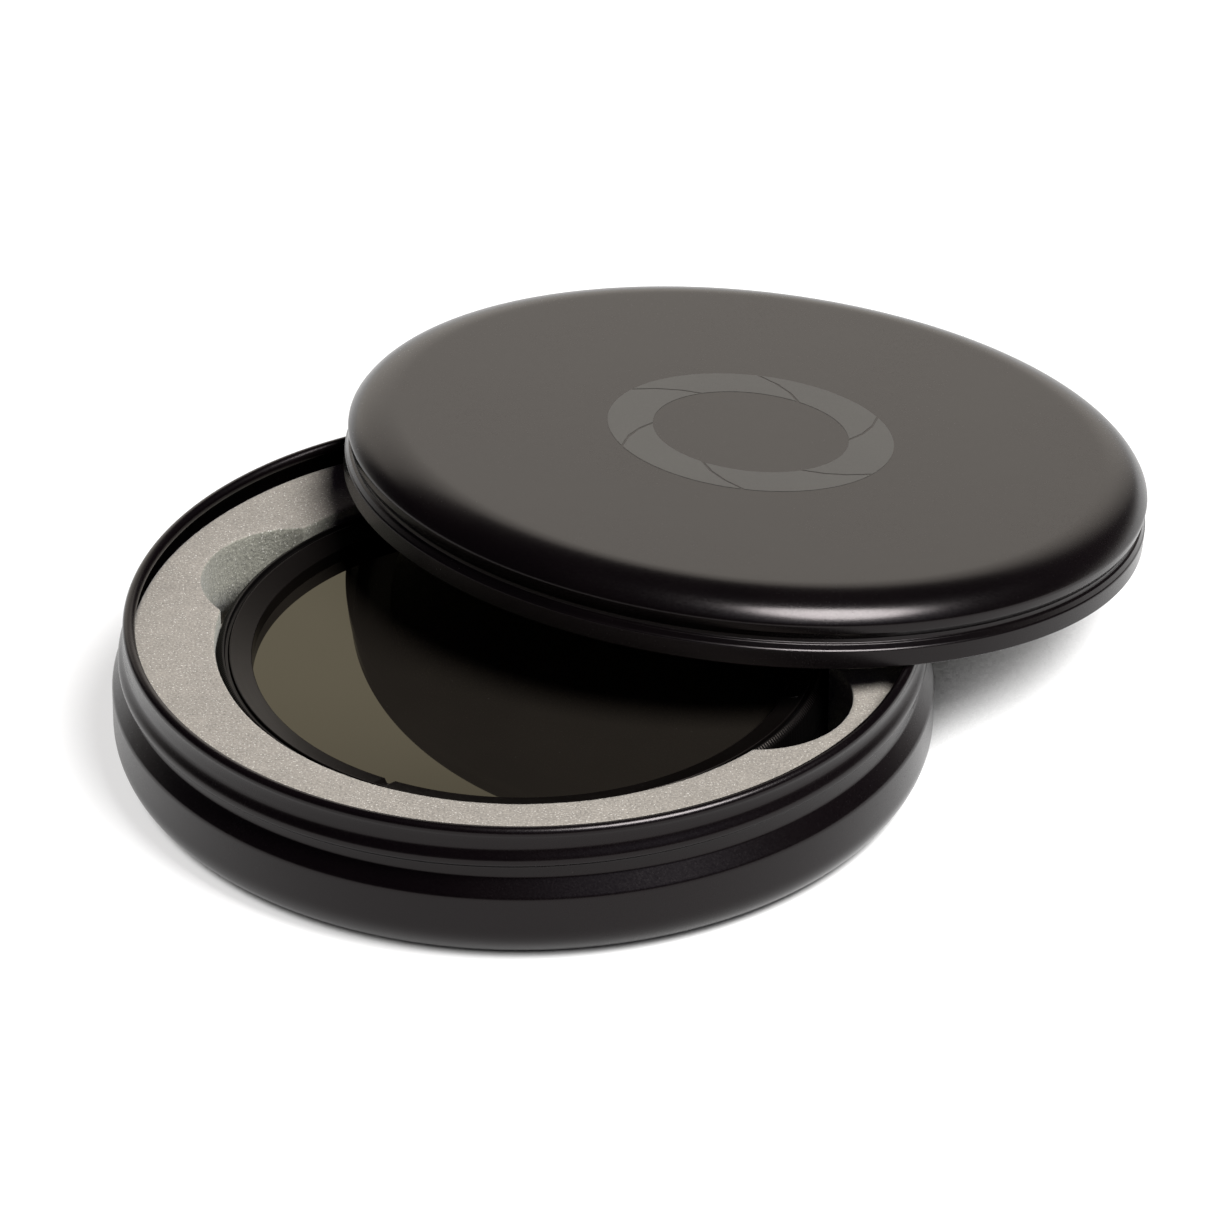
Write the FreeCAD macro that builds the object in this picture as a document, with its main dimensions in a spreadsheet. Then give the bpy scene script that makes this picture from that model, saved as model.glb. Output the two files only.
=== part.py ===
import FreeCAD, Part
import math
import os
import re

import Sketcher

# A round metal tin for a camera filter. The lid leans on the base, and a variable
# neutral-density filter lies in the foam tray. Origin: centre of the base's underside,
# +Z up, millimetres.

SIZES = {
    # base
    "tin_radius": 55.0,
    "wall": 0.35,
    "base_corner": 4.9,
    "body_top": 9.95,
    "shoulder_height": 2.45,
    "neck_radius": 53.3,
    "bead_radius": 52.54,
    "bead_height": 18.7,
    "bead_tube": 0.83,
    "ridge_depth": 0.8,
    "ridge_upper": 2.0,
    "ridge_crest_high": 0.5,
    "ridge_crest_low": 0.3,
    "ridge_lower": 0.8,
    "ridge_front_height": 14.8,
    "ridge_lead": 4.0,
    "ridge_sink": 0.15,
    "ridge_turns": 0.96,
    "ridge_end_angle": 97.0,
    # foam
    "foam_radius": 52.75,
    "foam_floor_radius": 49.8,
    "foam_floor_bottom": 0.4,
    "foam_floor_top": 4.0,
    "foam_top": 15.9,
    "pocket_radius": 41.2,
    "notch_radius": 13.1,
    "notch_offset": 34.0,
    "notch_direction": 154.0,
    # lid, heights counted from its open edge
    "skirt_radius": 54.75,
    "skirt_height": 2.35,
    "crest_radius": 55.3,
    "crest_low": 2.65,
    "crest_high": 3.85,
    "groove_radius": 54.45,
    "groove_low": 4.05,
    "groove_high": 4.75,
    "crest_rise": 0.25,
    "ledge_drop": 0.3,
    "groove_rise": 0.15,
    "lid_radius": 55.05,
    "lid_wall_low": 5.05,
    "lid_wall_high": 6.5,
    "bend_radius": 53.35,
    "bend_height": 8.3,
    "bend_inset": 0.24,
    "low_arc": 3.0,
    "top_arc": 8.06,
    "lid_corner": 5.85,
    "lid_height": 9.45,
    "liner_radius": 49.5,
    "liner_glue": 0.02,
    "lid_offset": 47.9,
    "lid_direction": 51.3,
    "lid_tilt": 8.44,
    "resting_gap": 0.05,
    # filter
    "ring_radius": 41.0,
    "aperture_radius": 36.0,
    "thread_radius": 38.5,
    "thread_bottom": 4.05,
    "thread_top": 6.45,
    "flange_top": 7.7,
    "flange_gap": 0.15,
    "hub_radius": 39.3,
    "hub_top": 9.5,
    "running_gap": 0.05,
    "glass_step": 6.95,
    "rear_glass_radius": 37.1,
    "front_glass_radius": 37.6,
    "front_seat_under": 9.75,
    "front_seat": 10.1,
    "bezel_seat": 11.75,
    "bezel_inner": 36.67,
    "bezel_inner_top": 13.6,
    "bezel_outer_top": 14.45,
    "ring_top": 14.6,
    "ring_chamfer": 0.8,
    "ring_chamfer_drop": 0.7,
    "ring_lip": 39.9,
    "ring_lip_depth": 0.5,
    "flute_radius": 0.45,
    "flute_bite": 0.2,
    "flute_count": 72.0,
    "flute_start": 2.5,
    "spacer_thickness": 0.12,
    "glass_thickness": 0.65,
    "film_thickness": 0.18,
    "retainer_thickness": 0.75,
    "snap_height": 9.1,
    "snap_tube": 0.26,
    "snap_slot": 0.33,
    "snap_gap_angle": 14.0,
    "washer_thickness": 0.13,
    "washer_inner_clear": 0.2,
    "washer_outer_clear": 0.1,
    "pin_height": 8.3,
    "pin_tube": 0.33,
    "pin_clearance": 0.04,
    "pin_depth": 0.75,
    "pin_sunk": 0.1,
    "stop_slot_depth": 1.0,
    "stop_slot_half": 0.42,
    "turn_range": 70.0,
    "turn_spare": 1.5,
    "cut_spare": 1.0,
}

doc = FreeCAD.newDocument("FilterTin")
sheet = doc.addObject("Spreadsheet::Sheet", "Sizes")
for row, (alias, size) in enumerate(SIZES.items(), start=1):
    sheet.set(f"A{row}", alias)
    sheet.set(f"B{row}", str(size))
    sheet.setAlias(f"B{row}", alias)
doc.recompute()


def bound(text):
    """An expression in which every size name points at its cell."""
    return re.sub(r"[a-z_]+", lambda m: f"Sizes.{m[0]}" if m[0] in SIZES else m[0], text)


def number(text):
    """The present value of an expression in size names."""
    return float(sheet.evalExpression(bound(text)))


def tie(thing, prop, text):
    """Bind a property to an expression in size names."""
    thing.setExpression(prop, bound(text))


def new_body(label):
    body = doc.addObject("PartDesign::Body", label)
    body.Label = label
    return body


def new_sketch(body, name, role):
    """A sketch on one of the body's own origin planes."""
    sketch = body.newObject("Sketcher::SketchObject", name)
    plane = next(f for f in body.Origin.OriginFeatures if f.Role == role)
    sketch.AttachmentSupport = [(plane, "")]
    sketch.MapMode = "FlatFace"
    return sketch


def pin_point(sketch, geometry, corner, x_text, y_text):
    """Hold one point of a sketch at an (x, y) given in size names."""
    for kind, axis, text in (("DistanceX", -2, x_text), ("DistanceY", -1, y_text)):
        value = number(text)
        if abs(value) < 1e-9:
            sketch.addConstraint(Sketcher.Constraint("PointOnObject", geometry, corner, axis))
            continue
        index = sketch.addConstraint(Sketcher.Constraint(kind, -1, 1, geometry, corner, value))
        sketch.setExpression(f"Constraints[{index}]", bound(text))


def draw_outline(sketch, corners):
    """A closed outline. A corner is (x, y), or (x, y, radius) where an arc runs on to the next.

    A positive radius bulges to the left of the way to the next corner, a negative one to the right.
    """
    places = [FreeCAD.Vector(number(c[0]), number(c[1]), 0) for c in corners]
    count = len(corners)
    for i, corner in enumerate(corners):
        start = places[i]
        end = places[(i + 1) % count]
        if len(corner) == 2:
            sketch.addGeometry(Part.LineSegment(start, end))
            continue
        radius = number(corner[2])
        way = end - start
        left = FreeCAD.Vector(-way.y, way.x, 0).normalize()
        half = way.Length / 2
        sagitta = abs(radius) - math.sqrt(max(radius * radius - half * half, 0))
        middle = (start + end) / 2 + left * math.copysign(sagitta, radius)
        sketch.addGeometry(Part.Arc(start, middle, end))
    ends = []
    for i in range(count):
        flipped = False
        if len(corners[i]) == 3:
            flipped = sketch.getPoint(i, 1).distanceToPoint(places[i]) > 1e-6
        ends.append((2, 1) if flipped else (1, 2))
    for i in range(count):
        following = (i + 1) % count
        sketch.addConstraint(
            Sketcher.Constraint("Coincident", i, ends[i][1], following, ends[following][0]))
        pin_point(sketch, i, ends[i][0], corners[i][0], corners[i][1])
        if len(corners[i]) == 3:
            index = sketch.addConstraint(
                Sketcher.Constraint("Radius", i, abs(number(corners[i][2]))))
            sketch.setExpression(f"Constraints[{index}]", bound(f"abs({corners[i][2]})"))


def draw_circle(sketch, x_text, y_text, radius_text):
    centre = FreeCAD.Vector(number(x_text), number(y_text), 0)
    circle = Part.Circle(centre, FreeCAD.Vector(0, 0, 1), number(radius_text))
    geometry = sketch.addGeometry(circle)
    pin_point(sketch, geometry, 3, x_text, y_text)
    index = sketch.addConstraint(Sketcher.Constraint("Radius", geometry, number(radius_text)))
    sketch.setExpression(f"Constraints[{index}]", bound(radius_text))


def turn(body, name, corners=None, circle=None, angle="360", kind="PartDesign::Revolution"):
    """Revolve an outline, or a circle, about the body's Z axis."""
    sketch = new_sketch(body, f"{name}_outline", "XZ_Plane")
    if circle:
        draw_circle(sketch, *circle)
    else:
        draw_outline(sketch, corners)
    feature = body.newObject(kind, name)
    feature.Profile = sketch
    feature.ReferenceAxis = (sketch, ["V_Axis"])
    feature.Midplane = angle != "360"
    tie(feature, "Angle", angle)
    body.Tip = feature
    doc.recompute()
    return feature


def cut_through(body, name, role, circle, length, reverse=False):
    """Pocket a round hole from one of the body's origin planes."""
    before = body.Shape.Volume
    sketch = new_sketch(body, f"{name}_outline", role)
    draw_circle(sketch, *circle)
    pocket = body.newObject("PartDesign::Pocket", name)
    pocket.Profile = sketch
    tie(pocket, "Length", length)
    pocket.Reversed = reverse
    body.Tip = pocket
    doc.recompute()
    if body.Shape.Volume >= before - 1e-6:
        raise RuntimeError(f"{name} cuts nothing")
    return pocket


def repeat_round(body, name, feature, count):
    pattern = body.newObject("PartDesign::PolarPattern", name)
    pattern.Originals = [feature]
    pattern.Axis = (feature.Profile[0], ["N_Axis"])
    pattern.Angle = 360
    tie(pattern, "Occurrences", count)
    body.Tip = pattern
    doc.recompute()


def new_disc(label, radius, bottom, thickness):
    """A plain round disc on the Z axis, such as a glass."""
    disc = doc.addObject("Part::Cylinder", label)
    disc.Label = label
    tie(disc, "Radius", radius)
    tie(disc, "Height", thickness)
    tie(disc, "Placement.Base.z", bottom)
    return disc


def new_collar(label, inner, outer, bottom, top):
    """A plain ring of rectangular section on the Z axis."""
    body = new_body(label)
    turn(body, f"{label}_turn", [(inner, bottom), (outer, bottom), (outer, top), (inner, top)])
    return body


# ---------------------------------------------------------------- base tin

def make_base_tin():
    """A pressed cup: round bottom corner, sloping shoulder, rolled thread, curled bead."""
    shell = new_body("base_shell")
    turn(shell, "base_turn", [
        ("0", "0"),
        ("tin_radius - base_corner", "0", "-base_corner"),
        ("tin_radius", "base_corner"),
        ("tin_radius", "body_top"),
        ("neck_radius", "body_top + shoulder_height"),
        ("neck_radius", "bead_height"),
        ("neck_radius - wall", "bead_height"),
        ("neck_radius - wall", "body_top + shoulder_height"),
        ("tin_radius - wall", "body_top"),
        ("tin_radius - wall", "base_corner", "(base_corner - wall)"),
        ("tin_radius - base_corner", "wall"),
        ("0", "wall"),
    ])
    bead = doc.addObject("Part::Torus", "curled_bead")
    tie(bead, "Radius1", "bead_radius")
    tie(bead, "Radius2", "bead_tube")
    tie(bead, "Placement.Base.z", "bead_height")

    # one turn of rolled thread, which ends at the back
    radius = number("neck_radius - ridge_sink")
    lead = number("ridge_lead")
    start = number("ridge_front_height - ridge_lead / 2")
    helix = Part.makeHelix(lead, lead * number("ridge_turns"), radius)
    out = number("ridge_depth + ridge_sink")
    section = Part.makePolygon([
        FreeCAD.Vector(radius, 0, -number("ridge_lower")),
        FreeCAD.Vector(radius + out, 0, -number("ridge_crest_low")),
        FreeCAD.Vector(radius + out, 0, number("ridge_crest_high")),
        FreeCAD.Vector(radius, 0, number("ridge_upper")),
        FreeCAD.Vector(radius, 0, -number("ridge_lower")),
    ])
    thread = doc.addObject("Part::Feature", "rolled_thread")
    thread.Shape = Part.Wire(helix).makePipeShell([section], True, True)
    thread.Placement = FreeCAD.Placement(
        FreeCAD.Vector(0, 0, start),
        FreeCAD.Rotation(FreeCAD.Vector(0, 0, 1), number("ridge_end_angle")))

    curled = doc.addObject("Part::Fuse", "curled_shell")
    curled.Base = shell
    curled.Tool = bead
    tin = doc.addObject("Part::Fuse", "base_tin")
    tin.Base = curled
    tin.Tool = thread
    tin.Label = "base_tin"
    return tin


# ---------------------------------------------------------------- foam

def make_foam_tray():
    """A foam ring with the filter's pocket and two finger notches opposite each other."""
    tray = new_collar("foam_tray", "pocket_radius", "foam_radius", "foam_floor_top", "foam_top")
    notch = cut_through(
        tray, "finger_notch", "XY_Plane",
        ("notch_offset * cos(notch_direction * 1deg)",
         "notch_offset * sin(notch_direction * 1deg)",
         "notch_radius"),
        "foam_top + cut_spare", reverse=True)
    repeat_round(tray, "finger_notches", notch, "2")
    return tray


def make_foam_floor():
    return new_disc("foam_floor", "foam_floor_radius", "foam_floor_bottom",
                    "foam_floor_top - foam_floor_bottom")


# ---------------------------------------------------------------- lid

def lid_heights():
    """Height of the lid's centre over the table, and of its liner's face over its open edge.

    The lid's open edge lies on the base's bead at two points, and its liner on the bead's far
    side. A point of the bead's centre line at the angle phi from the lid's direction is
    phi_distance above the plane of the lid's open edge.
    """
    tilt = math.radians(number("lid_tilt"))
    offset = number("lid_offset")
    ring = number("bead_radius")
    tube = number("bead_tube")
    gap = number("resting_gap")
    inner_edge = number("skirt_radius - wall - bead_tube / 2")

    def bead_point(phi):
        along = ring * math.cos(phi) - offset
        across = ring * math.sin(phi)
        return along, across

    # the bead leaves the lid's hollow where it passes under the skirt's inner edge
    phi = 0.0
    while math.hypot(bead_point(phi)[0] * math.cos(tilt), bead_point(phi)[1]) < inner_edge:
        phi += 0.0005
    along = bead_point(phi)[0]
    slope = math.tan(tilt)
    centre = number("bead_height") + (tube + gap) / math.cos(tilt) + along * slope
    far = ring - offset
    liner_face = (far * math.sin(tilt) + (number("bead_height") - centre) * math.cos(tilt)
                  + tube + gap)
    return centre, liner_face


LID_CENTRE, LINER_FACE = lid_heights()


def lean(piece):
    """Put a piece modelled in the lid's own frame where the lid leans on the base."""
    direction = math.radians(number("lid_direction"))
    offset = number("lid_offset")
    downhill = FreeCAD.Vector(math.cos(direction), math.sin(direction), 0)
    hinge_line = FreeCAD.Vector(-downhill.y, downhill.x, 0)
    place = FreeCAD.Vector(offset * downhill.x, offset * downhill.y, LID_CENTRE)
    piece.Placement = FreeCAD.Placement(
        place, FreeCAD.Rotation(hinge_line, number("lid_tilt")))


def make_lid_tin():
    """A pressed cap: plain skirt, raised crest, rolled groove, rounded shoulder, flat top."""
    lid = new_body("lid_tin")
    turn(lid, "lid_turn", [
        ("0", "lid_height - wall"),
        ("lid_radius - lid_corner", "lid_height - wall", "top_arc - wall"),
        ("bend_radius - bend_inset", "bend_height - bend_inset", "low_arc - wall"),
        ("lid_radius - wall", "lid_wall_high"),
        ("lid_radius - wall", "lid_wall_low + groove_rise"),
        ("groove_radius - wall", "groove_high + groove_rise"),
        ("groove_radius - wall", "groove_low - ledge_drop"),
        ("crest_radius - wall", "crest_high - ledge_drop"),
        ("crest_radius - wall", "crest_low + crest_rise"),
        ("skirt_radius - wall", "skirt_height + crest_rise"),
        ("skirt_radius - wall", "0"),
        ("skirt_radius", "0"),
        ("skirt_radius", "skirt_height"),
        ("crest_radius", "crest_low"),
        ("crest_radius", "crest_high"),
        ("groove_radius", "groove_low"),
        ("groove_radius", "groove_high"),
        ("lid_radius", "lid_wall_low"),
        ("lid_radius", "lid_wall_high", "-low_arc"),
        ("bend_radius", "bend_height", "-top_arc"),
        ("lid_radius - lid_corner", "lid_height"),
        ("0", "lid_height"),
    ])
    lean(lid)
    return lid


def make_lid_liner():
    """A foam disc glued inside the lid, which holds the filter down when the tin is shut."""
    liner = doc.addObject("Part::Cylinder", "lid_liner")
    liner.Label = "lid_liner"
    tie(liner, "Radius", "liner_radius")
    liner.Height = number("lid_height - wall - liner_glue") - LINER_FACE
    lean(liner)
    face = liner.Placement.multVec(FreeCAD.Vector(0, 0, LINER_FACE))
    liner.Placement = FreeCAD.Placement(face, liner.Placement.Rotation)
    return liner


# ---------------------------------------------------------------- filter

def make_rear_ring():
    """The fixed ring: lens thread below, flange, and the hub that the front ring turns on."""
    ring = new_body("rear_ring")
    turn(ring, "rear_turn", [
        ("aperture_radius", "thread_bottom"),
        ("thread_radius", "thread_bottom"),
        ("thread_radius", "thread_top"),
        ("ring_radius", "thread_top"),
        ("ring_radius", "flange_top"),
        ("hub_radius", "flange_top"),
        ("hub_radius", "snap_height - snap_slot"),
        ("hub_radius - snap_slot", "snap_height - snap_slot"),
        ("hub_radius - snap_slot", "snap_height + snap_slot"),
        ("hub_radius", "snap_height + snap_slot"),
        ("hub_radius", "hub_top"),
        ("rear_glass_radius + running_gap", "hub_top"),
        ("rear_glass_radius + running_gap", "glass_step"),
        ("aperture_radius", "glass_step"),
    ])
    turn(ring, "stop_slot", [
        ("hub_radius - stop_slot_depth", "pin_height - stop_slot_half"),
        ("hub_radius + running_gap", "pin_height - stop_slot_half"),
        ("hub_radius + running_gap", "pin_height + stop_slot_half"),
        ("hub_radius - stop_slot_depth", "pin_height + stop_slot_half"),
    ], angle="turn_range + turn_spare", kind="PartDesign::Groove")
    return ring


def make_front_ring():
    """The turning ring: fluted rim, seat for the front glass, skirt over the rear ring's hub."""
    ring = new_body("front_ring")
    bore = "hub_radius + running_gap"
    turn(ring, "front_turn", [
        (bore, "flange_top + flange_gap"),
        ("ring_radius", "flange_top + flange_gap"),
        ("ring_radius", "ring_top - ring_chamfer_drop"),
        ("ring_radius - ring_chamfer", "ring_top"),
        ("ring_lip", "ring_top"),
        ("ring_lip", "ring_top - ring_lip_depth"),
        (bore, "ring_top - ring_lip_depth"),
        (bore, "bezel_seat"),
        ("front_glass_radius + running_gap", "bezel_seat"),
        ("front_glass_radius + running_gap", "front_seat"),
        ("aperture_radius", "front_seat"),
        ("aperture_radius", "front_seat_under"),
        (bore, "front_seat_under"),
        (bore, "snap_height + snap_slot"),
        (f"{bore} + snap_slot", "snap_height + snap_slot"),
        (f"{bore} + snap_slot", "snap_height - snap_slot"),
        (bore, "snap_height - snap_slot"),
    ])
    cut_through(ring, "pin_hole", "YZ_Plane",
                ("0", "pin_height", "pin_tube + pin_clearance"), "ring_radius + cut_spare", reverse=True)
    flute = cut_through(
        ring, "grip_flute", "XY_Plane",
        ("(ring_radius + flute_radius - flute_bite) * cos(flute_start * 1deg)",
         "(ring_radius + flute_radius - flute_bite) * sin(flute_start * 1deg)",
         "flute_radius"),
        "ring_top + cut_spare", reverse=True)
    repeat_round(ring, "grip_flutes", flute, "flute_count")
    ring.Placement = turned_to_stop()
    return ring


def turned_to_stop():
    """The front ring lies at rest with its pin at the low end of the stop slot."""
    return FreeCAD.Placement(
        FreeCAD.Vector(0, 0, 0),
        FreeCAD.Rotation(FreeCAD.Vector(0, 0, 1), -number("turn_range") / 2))


def make_front_bezel():
    """The screwed-in bezel that holds the front glass, with a sloping face."""
    bezel = new_body("front_retaining_ring")
    turn(bezel, "bezel_turn", [
        ("bezel_inner", "bezel_seat"),
        ("hub_radius", "bezel_seat"),
        ("hub_radius", "bezel_outer_top"),
        ("bezel_inner", "bezel_inner_top"),
    ])
    return bezel


def make_snap_ring():
    """A round wire ring, open at one side, in the grooves between hub and skirt."""
    snap = new_body("snap_ring")
    turn(snap, "snap_turn", circle=("hub_radius + running_gap / 2", "snap_height", "snap_tube"),
         angle="360 - snap_gap_angle")
    return snap


def make_stop_pin():
    """A small pin in the skirt, whose inner end runs in the rear ring's stop slot."""
    pin = doc.addObject("Part::Cylinder", "stop_pin")
    pin.Label = "stop_pin"
    tie(pin, "Radius", "pin_tube")
    tie(pin, "Height", "ring_radius - hub_radius + pin_depth - flute_bite - pin_sunk")
    inner_end = FreeCAD.Vector(number("hub_radius - pin_depth"), 0, number("pin_height"))
    lying = FreeCAD.Placement(inner_end, FreeCAD.Rotation(FreeCAD.Vector(0, 1, 0), 90))
    pin.Placement = turned_to_stop().multiply(lying)
    return pin


def make_glass_stack(side, radius, bottom):
    """A blackened spacer, then a polarising film between two glasses, from the bottom up."""
    film_bottom = f"{bottom} + spacer_thickness + glass_thickness"
    lower, upper = ("rear_outer_glass", "rear_inner_glass")
    if side == "front":
        lower, upper = ("front_inner_glass", "front_outer_glass")
    return [
        new_collar(f"{side}_glass_spacer", "aperture_radius", radius,
                   bottom, f"{bottom} + spacer_thickness"),
        new_disc(lower, radius, f"{bottom} + spacer_thickness", "glass_thickness"),
        new_disc(f"{side}_polariser_film", radius, film_bottom, "film_thickness"),
        new_disc(upper, radius, f"{film_bottom} + film_thickness", "glass_thickness"),
    ]


def make_rear_retainer():
    stack = "glass_step + spacer_thickness + 2 * glass_thickness + film_thickness"
    return new_collar("rear_retaining_ring", "aperture_radius", "rear_glass_radius",
                      stack, f"{stack} + retainer_thickness")


def make_drag_washer():
    """A thin washer that gives the turning ring its smooth drag."""
    middle = "(hub_top + front_seat_under) / 2"
    return new_collar("drag_washer", "rear_glass_radius + washer_inner_clear",
                      "hub_radius - washer_outer_clear",
                      f"{middle} - washer_thickness / 2", f"{middle} + washer_thickness / 2")


# ---------------------------------------------------------------- assembly

PARTS = [
    make_base_tin(),
    make_foam_tray(),
    make_foam_floor(),
    make_lid_tin(),
    make_lid_liner(),
    make_rear_ring(),
    make_rear_retainer(),
    make_front_ring(),
    make_front_bezel(),
    make_snap_ring(),
    make_drag_washer(),
    make_stop_pin(),
]
PARTS += make_glass_stack("rear", "rear_glass_radius", "glass_step")
PARTS += make_glass_stack("front", "front_glass_radius", "front_seat")

doc.recompute()

for thing in doc.Objects:
    if "Invalid" in thing.State or "Error" in thing.State:
        raise RuntimeError(f"{thing.Label} did not compute: {thing.State}")
for piece in PARTS:
    if piece.Shape.isNull() or not piece.Shape.isValid():
        raise RuntimeError(f"{piece.Label} has no valid shape")

os.makedirs("parts", exist_ok=True)
for piece in PARTS:
    piece.Shape.exportStep(f"parts/{piece.Label}.step")
    box = piece.Shape.BoundBox
    print(f"{piece.Label:24s} volume {piece.Shape.Volume:10.1f}  solids {len(piece.Shape.Solids)}"
          f"  z {box.ZMin:7.2f} {box.ZMax:7.2f}  x {box.XMin:7.2f} {box.XMax:7.2f}")
print(f"lid centre {LID_CENTRE:.3f}, liner face {LINER_FACE:.3f}")
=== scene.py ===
import math

import bmesh
import bpy
import numpy as np
from mathutils import Matrix, Vector


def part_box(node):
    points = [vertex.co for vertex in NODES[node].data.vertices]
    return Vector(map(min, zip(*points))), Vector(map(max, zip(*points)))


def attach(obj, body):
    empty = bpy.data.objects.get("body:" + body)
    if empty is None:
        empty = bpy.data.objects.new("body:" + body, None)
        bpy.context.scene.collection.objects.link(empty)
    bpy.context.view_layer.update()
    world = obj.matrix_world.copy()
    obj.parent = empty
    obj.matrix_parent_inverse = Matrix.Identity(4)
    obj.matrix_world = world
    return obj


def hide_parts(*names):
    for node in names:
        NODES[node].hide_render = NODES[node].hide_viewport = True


# A black filter tin, open: its lid leans on the base, and a variable neutral-density filter
# lies in the foam tray. The CAD model is the frame, and this script gives it its looks.
# Shapes are worked out in millimetres and turned to metres as each mesh is made. The camera
# looks along +Y, so the front of the object is toward -Y.

MM = 0.001
TURN = 2 * math.pi
FLAT_FACE = 0.9

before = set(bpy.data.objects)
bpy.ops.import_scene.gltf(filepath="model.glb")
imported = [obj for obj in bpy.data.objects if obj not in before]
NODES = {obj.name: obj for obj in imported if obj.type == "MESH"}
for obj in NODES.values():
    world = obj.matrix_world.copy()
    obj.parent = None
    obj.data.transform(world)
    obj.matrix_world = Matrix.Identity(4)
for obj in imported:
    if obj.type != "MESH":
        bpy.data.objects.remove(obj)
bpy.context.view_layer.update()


# ------------------------------------------------------------------ sizes read from the frame

def low(node, axis):
    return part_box(node)[0][axis] / MM


def high(node, axis):
    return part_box(node)[1][axis] / MM


def lid_place():
    """The lid's own frame, its height, and the height of its liner's face.

    The frame's origin is the middle of the open edge, and its Z is the lid's axis, which is the
    direction that the liner's flat faces look.
    """
    liner = NODES["lid_liner"].data
    axis = Vector()
    for face in liner.polygons:
        if face.normal.z > FLAT_FACE:
            axis += face.normal * face.area
    axis = np.array(axis.normalized())
    across = np.cross(axis, (1.0, 0.0, 0.0))
    across /= np.linalg.norm(across)
    along = np.cross(across, axis)
    turn = np.array((along, across, axis))
    disc = np.array([v.co for v in liner.vertices]) @ turn.T
    tin = np.array([v.co for v in NODES["lid_tin"].data.vertices]) @ turn.T
    middle = (disc.min(axis=0) + disc.max(axis=0)) / 2
    middle[2] = tin[:, 2].min()
    place = Matrix(turn.T.tolist()).to_4x4()
    place.translation = Vector((middle @ turn).tolist())
    height = (tin[:, 2].max() - middle[2]) / MM
    return place, height, (disc[:, 2].min() - middle[2]) / MM


LID_PLACE, LID_HEIGHT, LINER_FACE = lid_place()
LEVEL = Matrix.Identity(4)

# ------------------------------------------------------------------ mesh helpers

# A rounding takes up to this share of its shorter side, its support points stand this many
# times as far out as its ends, and they may pass that share by this factor.
ROUNDING_SHARE = 0.48
ROUNDING_SUPPORT = 1.5
ROUNDING_SPARE = 1.02
ON_AXIS = 1e-9


def rounded(corners, steps=7):
    """An open outline of (r, z) points. A third number in a corner is its rounding radius.

    A support point stands at each end of a rounding, so that smooth shading keeps the flats flat.
    """
    points = [np.array(c[:2], dtype=float) for c in corners]
    outline = []
    for i, corner in enumerate(corners):
        here = points[i]
        if len(corner) < 3:
            outline.append(here)
            continue
        back = points[i - 1] - here
        ahead = points[i + 1] - here
        room = ROUNDING_SHARE * min(np.linalg.norm(back), np.linalg.norm(ahead))
        back /= np.linalg.norm(back)
        ahead /= np.linalg.norm(ahead)
        half = math.acos(float(np.clip(back @ ahead, -1, 1))) / 2
        cut = min(corner[2] / math.tan(half), room)
        radius = cut * math.tan(half)
        inward = (back + ahead) / np.linalg.norm(back + ahead)
        centre = here + inward * radius / math.sin(half)
        edge = min(cut * ROUNDING_SUPPORT, room * ROUNDING_SPARE)
        outline.append(here + back * edge)
        first = here + back * cut - centre
        last = here + ahead * cut - centre
        sweep = math.pi - 2 * half
        for k in range(steps + 1):
            share = k / steps
            outline.append(centre + (first * math.sin((1 - share) * sweep)
                                     + last * math.sin(share * sweep)) / math.sin(sweep))
        outline.append(here + ahead * edge)
    return outline


def arc(centre, radius, start, end, steps):
    """Points of an arc, angles in degrees, as outline corners."""
    at = np.radians(np.linspace(start, end, steps + 1))
    return [(centre[0] + radius * math.cos(a), centre[1] + radius * math.sin(a)) for a in at]


def turned(name, rows, segments, ring=False, place=LEVEL):
    """A skin turned about Z. Each row is (radius, height), plain numbers or one per segment.

    A ring's last row joins its first.
    """
    phi = angles(segments)
    points = []
    starts = []
    for radius, height in rows:
        starts.append(len(points))
        if np.ndim(radius) == 0 and radius < ON_AXIS:
            points.append((0.0, 0.0, float(np.mean(height)) * MM))
            continue
        x = radius * np.cos(phi) * MM
        y = radius * np.sin(phi) * MM
        z = np.broadcast_to(height, segments) * MM
        points.extend(zip(x.tolist(), y.tolist(), z.tolist()))
    ends = starts[1:] + [len(points)]
    faces = []
    pairs = [(i, i + 1) for i in range(len(rows) - 1)]
    if ring:
        pairs.append((len(rows) - 1, 0))
    for a, b in pairs:
        one_a = ends[a] - starts[a] == 1
        one_b = ends[b] - starts[b] == 1
        for j in range(segments):
            k = (j + 1) % segments
            if one_a:
                faces.append((starts[a], starts[b] + k, starts[b] + j))
            elif one_b:
                faces.append((starts[a] + j, starts[a] + k, starts[b]))
            else:
                faces.append((starts[a] + j, starts[a] + k, starts[b] + k, starts[b] + j))
    return new_object(name, points, faces, place)


def new_object(name, points, faces, place=LEVEL, flat=False):
    """An object in the scene with a mesh whose faces all look outward."""
    mesh = bpy.data.meshes.new(name)
    mesh.from_pydata(points, [], faces)
    mesh.transform(place)
    work = bmesh.new()
    work.from_mesh(mesh)
    bmesh.ops.recalc_face_normals(work, faces=work.faces)
    for face in work.faces:
        face.smooth = not flat
    work.to_mesh(mesh)
    work.free()
    made = bpy.data.objects.new(name, mesh)
    bpy.context.scene.collection.objects.link(made)
    return made


def thicken(piece, depth):
    """Give a printed sheet a thickness below its face."""
    thick = piece.modifiers.new("thickness", "SOLIDIFY")
    thick.thickness = depth * MM
    thick.offset = -1.0


def angles(segments):
    """Evenly spaced angles of one turn."""
    return np.arange(segments) * TURN / segments


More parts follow.
